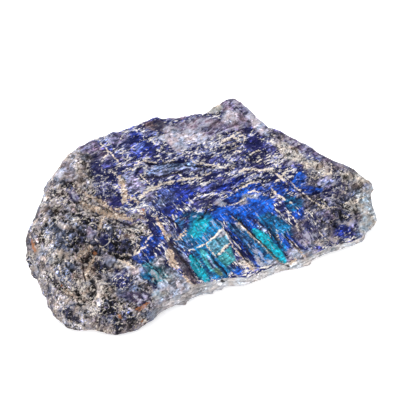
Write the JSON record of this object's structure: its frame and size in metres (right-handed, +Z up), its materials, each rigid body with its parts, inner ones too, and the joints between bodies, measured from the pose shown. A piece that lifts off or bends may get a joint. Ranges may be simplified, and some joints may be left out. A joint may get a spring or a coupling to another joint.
{
  "type": "raw labradorite stone",
  "caption": "Rough wedge of labradorite with a tilted cleaved face, ledges and grooves, thick at the back and thin at the front, lying on its flat underside.",
  "frame": {"origin": "under the middle of the stone, on the surface that it lies on", "axes": "+X along the stone towards its thin tip, +Y towards its thick back edge, +Z up"},
  "size_m": [0.0541, 0.0403, 0.0125],
  "materials": {
    "labradorite_feldspar": "dark blue-grey feldspar, waxy, with an indigo, azure and teal flash and dusty cracks"
  },
  "bodies": {
    "root": {"labradorite": "labradorite_feldspar"}
  },
  "joints": []
}
